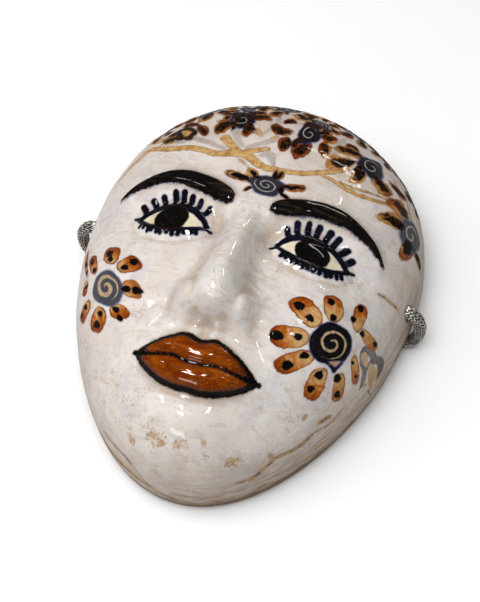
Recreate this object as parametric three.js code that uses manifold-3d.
// A ceramic wall mask lying face up on its rim: a hollow glazed shell with a modelled
// face, a braided hanging cord through a hole at each temple, and the two stopper
// knots that hold the cord inside the hollow.
// Millimetres. +Z comes out of the face, +Y runs from the chin to the crown.
// The rim stands on z = 0 and the origin is under the middle of the shell.

import * as THREE from "three";
import { mergeVertices } from "three/addons/utils/BufferGeometryUtils.js";
import Module from "manifold-3d";

// ---------------------------------------------------------------- driving sizes
const HEIGHT = 220; // chin to crown
const HALF_WIDTH = 82.4; // half width at mid height, the egg shape widens it to 84 above
const EGG_LEAN = 0.1955; // how much wider the crown half is than the chin half
const EGG_FULL = 0.033;
const MID_Y = 23.5; // level of the middle of the dome
const DOME = 75; // height of the plain dome
const BULGE = 14; // height of the steep wall under it
const TURN = 0.022; // how far the wall turns in again at the rim, as a share
const WALL = 7; // thickness of the clay
const LIP = 2.2; // rounding of the rim's outer edge
const LIP_IN = 1.2; // rounding of its inner edge
const ARCH = 7.8; // rise of the rim over the cord at each temple
const ARCH_HALF = 46; // half the length of that rise
const ARCH_Y = 7.5; // its middle
const DOME_SHARE = 0.9; // share of the surface parameter that is dome, the rest is wall

const HOLE_R = 4.3; // cord holes, drilled a little downwards from the inside
const HOLE_X = 77.5; // middle of the wall there
const HOLE_Z = 28.8;
const HOLE_SLOPE = (13 * Math.PI) / 180;
const HOLE_Y = { right: 8.8, left: 11.5 };

const CORD_D = 6.5; // braided cord
const CORD_LOW = 3.5; // its centre line where it lies on the table
const LOOP_R = 13; // the loop from the hole round the rim
const LOOP_X = 75.8; // centre of that loop
const LOOP_OUT = 11.8, LOOP_FULL = 0.62; // how far the loop stands out, and how squarely it turns
const LOOP_END_Y = { right: 8.4, left: 12.4 }; // where it passes under the rim
const SLACK = 36; // how far the slack bows towards the crown inside the hollow
const KNOT_R = 7.8;
const KNOT_X = 64.9;
const GAP = 0.3;

const GRID = 52; // cells across the outer surface, a square grid laid on a disc
const WALL_RINGS = 2; // of its half, how many rings make the steep wall
const GRID_IN = 24; // cells across the inner surface

// the face, on the proportions of a drawing manual: five eye widths across, the eyes
// at half height, nose and mouth at the thirds below them
const EYE = { x: 34, y: -0.5, half: 17 };
const UPPER_LID = [[-17, -0.6], [-14, 2.6], [-8, 6.6], [0, 8.4], [7, 7.4], [13, 4.2], [17, 1]];
const LOWER_LID = [[-17, -0.6], [-12, -3.2], [-5, -5.2], [3, -5.4], [10, -3.6], [14, -1.2], [17, 1]];
const MOUTH = { half: 27.5, y: -68 };
const LIP_TOP = [[0, 8.4], [3, 9.2], [6, 10.2], [9, 9.9], [14, 7.8], [20, 4.6], [25, 1.6], [27.5, 0]];
const LIP_LOW = [[0, -12], [6, -11.8], [12, -10.4], [18, -7.4], [23, -3.9], [26, -1.4], [27.5, 0]];
const LIP_MID = [[0, -1.2], [4, -0.9], [8, 0.2], [14, 0.3], [20, -0.2], [27.5, 0]];
const BROW = [[9, 16], [16, 18.6], [26, 22], [36, 24.2], [46, 23.4], [56, 19.2], [64, 12.6]];
const BROW_HALF = [[9, 2], [12, 3.8], [20, 4.7], [34, 4.6], [46, 3.7], [56, 2.4], [64, 0.6]];
const NOSE_UP = [[-52.5, 0], [-49, 5.5], [-46, 13], [-42.5, 18.3], [-38, 20], [-32, 18.6], [-22, 14.2], [-8, 8.8], [6, 4.6], [16, 1.8], [24, 0]];
const NOSE_HALF = [[-52, 10], [-40, 10.4], [-32, 9.6], [-22, 8.2], [-8, 7], [6, 6.2], [16, 7], [24, 8]];

// ---------------------------------------------------------------- small functions
const { abs, sin, cos, tan, atan, atan2, exp, hypot, min, max, sqrt, PI } = Math;
const bell = (u, s) => exp(-((u / s) ** 2));
const clamp = (x, a, b) => min(max(x, a), b);
const step = (a, b, x) => {
  const t = clamp((x - a) / (b - a), 0, 1);
  return t * t * (3 - 2 * t);
};
const softMax = (a, b, k) => 0.5 * (a + b + sqrt((a - b) ** 2 + k * k));

// a smooth curve through the points, level past both ends
function curve(points, x) {
  const n = points.length;
  const u = clamp(x, points[0][0], points[n - 1][0]);
  let i = 0;
  while (i < n - 2 && u >= points[i + 1][0]) i++;
  const slope = (k) => {
    const a = points[max(k - 1, 0)], b = points[min(k + 1, n - 1)];
    return (b[1] - a[1]) / (b[0] - a[0]);
  };
  const [x0, y0] = points[i], [x1, y1] = points[i + 1];
  const h = x1 - x0, t = (u - x0) / h;
  return (2 * t ** 3 - 3 * t ** 2 + 1) * y0 + (t ** 3 - 2 * t ** 2 + t) * h * slope(i)
    + (3 * t ** 2 - 2 * t ** 3) * y1 + (t ** 3 - t ** 2) * h * slope(i + 1);
}

// ---------------------------------------------------------------- the plain shell
// th goes round the mask, s from its middle (0) over the dome and down the wall (1)
const rim = (th) => [
  HALF_WIDTH * cos(th) * (1 + EGG_LEAN * sin(th) + EGG_FULL * sin(th) ** 2),
  (HEIGHT / 2) * sin(th),
];
const archAt = (y) => (abs(y - ARCH_Y) < ARCH_HALF ? ARCH * (0.5 + 0.5 * cos((PI * (y - ARCH_Y)) / ARCH_HALF)) : 0);

function plain(s, th) {
  const [rx, ry] = rim(th);
  const dx = rx, dy = ry - MID_Y, R = hypot(dx, dy), up = dy / R;
  if (s <= DOME_SHARE) {
    // a superellipse from the top of the dome to the top of the wall
    const n = 2 + 0.6 * max(0, -up) ** 2 + 0.25 * max(0, up) ** 2;
    const hh = DOME - BULGE;
    const psi = atan(sqrt(hh / R) * tan(min((s / DOME_SHARE) * (PI / 2), PI / 2 - 1e-9)));
    const a = max(sin(psi), 1e-12), b = max(cos(psi), 1e-12);
    const L = (a ** n + b ** n) ** (-1 / n);
    return [L * a * dx, MID_Y + L * a * dy, BULGE + hh * L * b];
  }
  const v = (s - DOME_SHARE) / (1 - DOME_SHARE), t = 1 - TURN * v * v;
  return [t * dx, MID_Y + t * dy, BULGE + (LIP + archAt(ry) - BULGE) * v];
}

function outward(s, th) {
  if (s < 1e-9) return [0, 0, 1];
  const e = 1e-4, q = clamp(s, 0.004, 1 - 1e-3);
  const a0 = plain(q - e, th), a1 = plain(q + e, th), b0 = plain(q, th - e), b1 = plain(q, th + e);
  const a = a1.map((v, i) => v - a0[i]), b = b1.map((v, i) => v - b0[i]);
  const n = [a[1] * b[2] - a[2] * b[1], a[2] * b[0] - a[0] * b[2], a[0] * b[1] - a[1] * b[0]];
  const l = hypot(...n);
  return n.map((v) => v / l);
}

// ---------------------------------------------------------------- the modelled face
const browDist = (ax, y) => {
  const slope = curve(BROW, ax + 0.5) - curve(BROW, ax - 0.5);
  const d = abs(y - curve(BROW, ax)) / sqrt(1 + slope * slope) - curve(BROW_HALF, ax);
  return max(d, BROW[0][0] - ax, ax - BROW[BROW.length - 1][0]);
};
const eyeDist = (ax, y) => {
  const u = ax - EYE.x, v = y - EYE.y;
  return max(max(v - curve(UPPER_LID, u), curve(LOWER_LID, u) - v) * 0.85, abs(u) - EYE.half);
};
const segDist = (x, y, [ax, ay], [bx, by]) => {
  const dx = bx - ax, dy = by - ay;
  const t = clamp(((x - ax) * dx + (y - ay) * dy) / (dx * dx + dy * dy), 0, 1);
  return hypot(x - ax - t * dx, y - ay - t * dy);
};

// how far the clay stands over the plain shell, in mm
function relief(x, y) {
  const ax = abs(x);
  let d = 4.5 * bell(x, 30) * bell(y + 66, 22); // the mound that carries the mouth
  d += 3 * bell(ax - 47, 20) * bell(y + 28, 22); // cheeks
  d += 4.5 * bell(x, 20) * bell(y + 92, 11) - 1.6 * bell(x, 24) * bell(y + 81.5, 4.5); // chin
  d += 2.6 * bell(y - curve(BROW, ax) + 1.5, 7) * step(2, 14, ax) * (1 - step(58, 76, ax)); // brow bone
  d -= 5 * bell(ax - 33, 21) * bell(y - 2, 13) + 3.4 * bell(ax - 13.5, 6) * bell(y - 3, 11); // sockets
  d += 6.2 * max(0, 1 - ((ax - EYE.x) / 20.5) ** 2 - ((y - EYE.y - 0.6) / 13) ** 2) ** 1.25; // eyeballs
  d -= 0.9 * step(0.7, -0.7, eyeDist(ax, y)); // the opening lies behind the lids
  // nose: a ridge, and the two wings
  const h = curve(NOSE_UP, y), w = curve(NOSE_HALF, y);
  const ridge = h * (0.86 * exp(-0.9 * (ax / w) ** 2.3) + 0.14 * bell(x, 2.1 * w));
  const wing = 11.5 * exp(-((((ax - 11) / 6.6) ** 2 + ((y + 40.5) / 7.2) ** 2) ** 1.35));
  d += max(softMax(ridge, wing, 1.6) - 0.8 * exp(-max(ridge, wing)), 0);
  d -= 1.4 * bell(ax - 5.4, 2.4) * bell(y + 46.6, 1.9); // nostrils, only pressed in
  const lipGroove = step(-49, -53, y) * step(-60.5, -56, y);
  d += (0.5 * bell(ax - 4.6, 1.8) - bell(x, 2.4)) * lipGroove;
  d -= 0.8 * bell(segDist(ax, y, [17, -42], [31, -66]), 4);
  // lips
  const v = y - MOUTH.y, top = curve(LIP_TOP, ax), low = curve(LIP_LOW, ax), mid = curve(LIP_MID, ax);
  const taper = sqrt(clamp(1 - (ax / MOUTH.half) ** 2.5, 0, 1));
  if (v >= mid) {
    const p = (v - mid) / max(top - mid, 0.3);
    if (p < 1.06) d += taper * (1.3 * step(1.06, 0.86, p) + 3 * max(0, 1 - ((p - 0.42) / 0.62) ** 2));
  } else {
    const q = (mid - v) / max(mid - low, 0.3);
    if (q < 1.06) d += taper * (1.3 * step(1.06, 0.88, q) + 4.2 * max(0, 1 - ((q - 0.45) / 0.62) ** 2));
  }
  d -= 2.6 * bell(v - mid, 1.25) * (1 - step(MOUTH.half - 3, MOUTH.half + 2, ax));
  d += 1.9 * step(1, -1.6, browDist(ax, y)); // the painted brows stand up in thick glaze
  return d;
}

// the same, evened out over a patch the size of a cell
function evenRelief(x, y) {
  let sum = 0;
  for (let i = -1; i <= 1; i++) for (let j = -1; j <= 1; j++) sum += relief(x + 1.1 * i, y + 1.3 * j);
  return sum / 9;
}

// the hollow behind follows the larger forms only, as a thumb presses clay
function hollowRelief(x, y) {
  const ax = abs(x);
  return 3 * bell(x, 30) * bell(y + 66, 22) + 3 * bell(ax - 47, 20) * bell(y + 28, 22)
    - 5 * bell(ax - 31, 24) * bell(y - 1, 15) - 3 * bell(ax - 13.5, 7) * bell(y - 3, 12)
    + 12 * bell(x, 9.5) * bell(y + 33, 15);
}

// ---------------------------------------------------------------- the shell's mesh
// a square grid laid on a disc, ring by ring, so that no cell is thin at the middle
function discGrid(cells, levels) {
  const half = cells / 2, grid = [];
  for (let i = 0; i <= cells; i++) {
    for (let j = 0; j <= cells; j++) {
      const p = i - half, q = j - half, ring = max(abs(p), abs(q));
      let th = 0;
      if (ring > 0) {
        if (abs(p) >= abs(q)) th = (PI / 4) * (q / p) + (p < 0 ? PI : 0);
        else th = PI / 2 - (PI / 4) * (p / q) + (q < 0 ? PI : 0);
      }
      grid.push([levels[ring], th]);
    }
  }
  return grid;
}
// the grid's edge, once round from th = -45 degrees, counterclockwise
function discEdge(cells) {
  const at = (i, j) => i * (cells + 1) + j, out = [];
  for (let j = 0; j < cells; j++) out.push(at(cells, j));
  for (let i = cells; i > 0; i--) out.push(at(i, cells));
  for (let j = cells; j > 0; j--) out.push(at(0, j));
  for (let i = 0; i < cells; i++) out.push(at(i, 0));
  return out;
}

function shellMesh() {
  const verts = [], tris = [];
  const add = (p) => verts.push(p) - 1;
  const face = (cells, ids, flip) => {
    const at = (i, j) => ids[i * (cells + 1) + j];
    for (let i = 0; i < cells; i++) {
      for (let j = 0; j < cells; j++) {
        const a = at(i, j), b = at(i + 1, j), c = at(i + 1, j + 1), d = at(i, j + 1);
        // the diagonal follows the rings
        const along = (i < cells / 2) === (j < cells / 2);
        const two = along ? [[a, b, c], [a, c, d]] : [[a, b, d], [b, c, d]];
        for (const t of two) tris.push(flip ? [t[0], t[2], t[1]] : t);
      }
    }
  };
  // joins two rings of any number of points, both counterclockwise from -45 degrees
  const join = (outer, inner, flip) => {
    let i = 0, j = 0;
    const n = outer.length, m = inner.length;
    while (i < n || j < m) {
      const a = outer[i % n], b = inner[j % m];
      const t = j >= m || (i < n && (i + 1) / n <= (j + 1) / m) ? [a, outer[++i % n], b] : [a, inner[++j % m], b];
      tris.push(flip ? [t[0], t[2], t[1]] : t);
    }
  };

  // outer surface
  const half = GRID / 2, dome = half - WALL_RINGS;
  const levels = [];
  for (let k = 0; k <= half; k++) {
    levels.push(k <= dome ? (DOME_SHARE * k) / dome : DOME_SHARE + ((1 - DOME_SHARE) * (k - dome)) / WALL_RINGS);
  }
  const outGrid = discGrid(GRID, levels);
  const outIds = outGrid.map(([s, th]) => {
    const p = plain(s, th), n = outward(s, th);
    const d = evenRelief(p[0], p[1]) * (1 - step(0.8, 0.93, s));
    return add(p.map((v, i) => v + n[i] * d));
  });
  face(GRID, outIds, false);

  // inner surface, one wall thickness in
  const levelsIn = Array.from({ length: GRID_IN / 2 + 1 }, (_, k) => {
    const full = GRID_IN / 2 - 1;
    return k <= full ? (DOME_SHARE * k) / full : 1;
  });
  const inGrid = discGrid(GRID_IN, levelsIn);
  const inIds = inGrid.map(([s, th]) => {
    const p = plain(s, th), n = outward(s, th);
    const d = hollowRelief(p[0], p[1]) * (1 - step(0.75, 0.95, s)) - WALL;
    return add(p.map((v, i) => v + n[i] * d));
  });
  face(GRID_IN, inIds, true);

  // the rim: rounded outside and inside, flat between
  const outEdge = discEdge(GRID).map((k) => [outIds[k], outGrid[k][1]]);
  const inEdge = discEdge(GRID_IN).map((k) => [inIds[k], inGrid[k][1]]);
  const ringAt = (edge, inset, rise) => edge.map(([id, th]) => {
    const [x, y] = verts[id];
    const n = outward(1, th), l = hypot(n[0], n[1]);
    return add([x - (n[0] / l) * inset, y - (n[1] / l) * inset, archAt(rim(th)[1]) + rise]);
  });
  const bevel = ringAt(outEdge, LIP * 0.3, LIP * 0.3);
  const flatOut = ringAt(outEdge, LIP, 0);
  const flatIn = ringAt(inEdge, -LIP_IN, 0);
  join(outEdge.map((e) => e[0]), bevel, true);
  join(bevel, flatOut, true);
  join(flatOut, flatIn, true);
  join(flatIn, inEdge.map((e) => e[0]), true);

  const geometry = new THREE.BufferGeometry();
  geometry.setAttribute("position", new THREE.Float32BufferAttribute(verts.flat(), 3));
  geometry.setIndex(tris.flat());
  return geometry;
}

// ---------------------------------------------------------------- cutting the holes
const wasm = await Module();
wasm.setup();

function toSolid(geometry) {
  const g = geometry.clone();
  for (const name of Object.keys(g.attributes)) if (name !== "position") g.deleteAttribute(name);
  const merged = mergeVertices(g, 1e-5);
  const mesh = new wasm.Mesh({
    numProp: 3,
    vertProperties: Float32Array.from(merged.attributes.position.array),
    triVerts: Uint32Array.from(merged.index.array),
  });
  mesh.merge();
  return new wasm.Manifold(mesh);
}
function toGeometry(solid) {
  const mesh = solid.getMesh();
  const geometry = new THREE.BufferGeometry();
  geometry.setAttribute("position", new THREE.BufferAttribute(Float32Array.from(mesh.vertProperties), 3));
  geometry.setIndex(new THREE.BufferAttribute(Uint32Array.from(mesh.triVerts), 1));
  return geometry;
}

function shellWithHoles() {
  let solid = toSolid(shellMesh());
  for (const side of ["right", "left"]) {
    const sign = side === "right" ? 1 : -1;
    const drill = new THREE.CylinderGeometry(HOLE_R, HOLE_R, 30, 16);
    drill.rotateZ(PI / 2);
    drill.rotateY(sign * HOLE_SLOPE);
    drill.translate(sign * HOLE_X, HOLE_Y[side] - 0.2, HOLE_Z);
    solid = solid.subtract(toSolid(drill));
  }
  return toGeometry(solid);
}

// ---------------------------------------------------------------- the cord
// out of the right hole, round the rim, across the hollow on the table, and back the
// same way on the left
function cordPoints() {
  const side = (name) => {
    const sign = name === "right" ? 1 : -1, pts = [];
    const y0 = HOLE_Y[name], y1 = LOOP_END_Y[name];
    pts.push([sign * (KNOT_X + KNOT_R + GAP), y0, CORD_LOW + 2 * LOOP_R]);
    const n = 12;
    for (let k = 0; k <= n; k++) {
      const a = (PI * k) / n;
      pts.push([
        sign * (LOOP_X + LOOP_OUT * Math.max(sin(a), 0) ** LOOP_FULL),
        y0 + (y1 - y0) * step(0, 1, k / n),
        CORD_LOW + LOOP_R + LOOP_R * cos(a),
      ]);
    }
    return pts;
  };
  const right = side("right"), left = side("left").reverse(), across = [];
  const n = 14;
  for (let k = 1; k < n; k++) {
    const u = k / n;
    across.push([
      LOOP_X * (1 - 2 * u),
      LOOP_END_Y.right + (LOOP_END_Y.left - LOOP_END_Y.right) * u + SLACK * sin(PI * u) ** 2,
      CORD_LOW,
    ]);
  }
  return [...right, ...across, ...left];
}

function cordGeometry() {
  const path = new THREE.CatmullRomCurve3(cordPoints().map((p) => new THREE.Vector3(...p)), false, "centripetal");
  const section = new THREE.Shape();
  const sides = 8;
  for (let k = 0; k < sides; k++) {
    const a = (2 * PI * (k + 0.5)) / sides, x = (CORD_D / 2) * cos(a), y = (CORD_D / 2) * sin(a);
    if (k === 0) section.moveTo(x, y);
    else section.lineTo(x, y);
  }
  section.closePath();
  return new THREE.ExtrudeGeometry(section, { steps: 64, curveSegments: 1, bevelEnabled: false, extrudePath: path });
}

// ---------------------------------------------------------------- the object
const glaze = new THREE.MeshStandardMaterial({ color: 0xdfd8cf, roughness: 0.22, metalness: 0 });
const silver = new THREE.MeshStandardMaterial({ color: 0xa9a6a2, roughness: 0.35, metalness: 0.85 });

const mask = new THREE.Group();
const addPiece = (name, geometry, material) => {
  const piece = new THREE.Mesh(geometry, material);
  piece.name = name;
  mask.add(piece);
  return piece;
};

addPiece("mask_shell", shellWithHoles(), glaze);
addPiece("hanging_cord", cordGeometry(), silver);
for (const side of ["right", "left"]) {
  const knot = addPiece(`knot_${side}`, new THREE.IcosahedronGeometry(KNOT_R, 1), silver);
  knot.position.set((side === "right" ? 1 : -1) * KNOT_X, HOLE_Y[side], CORD_LOW + 2 * LOOP_R);
}

export default mask;
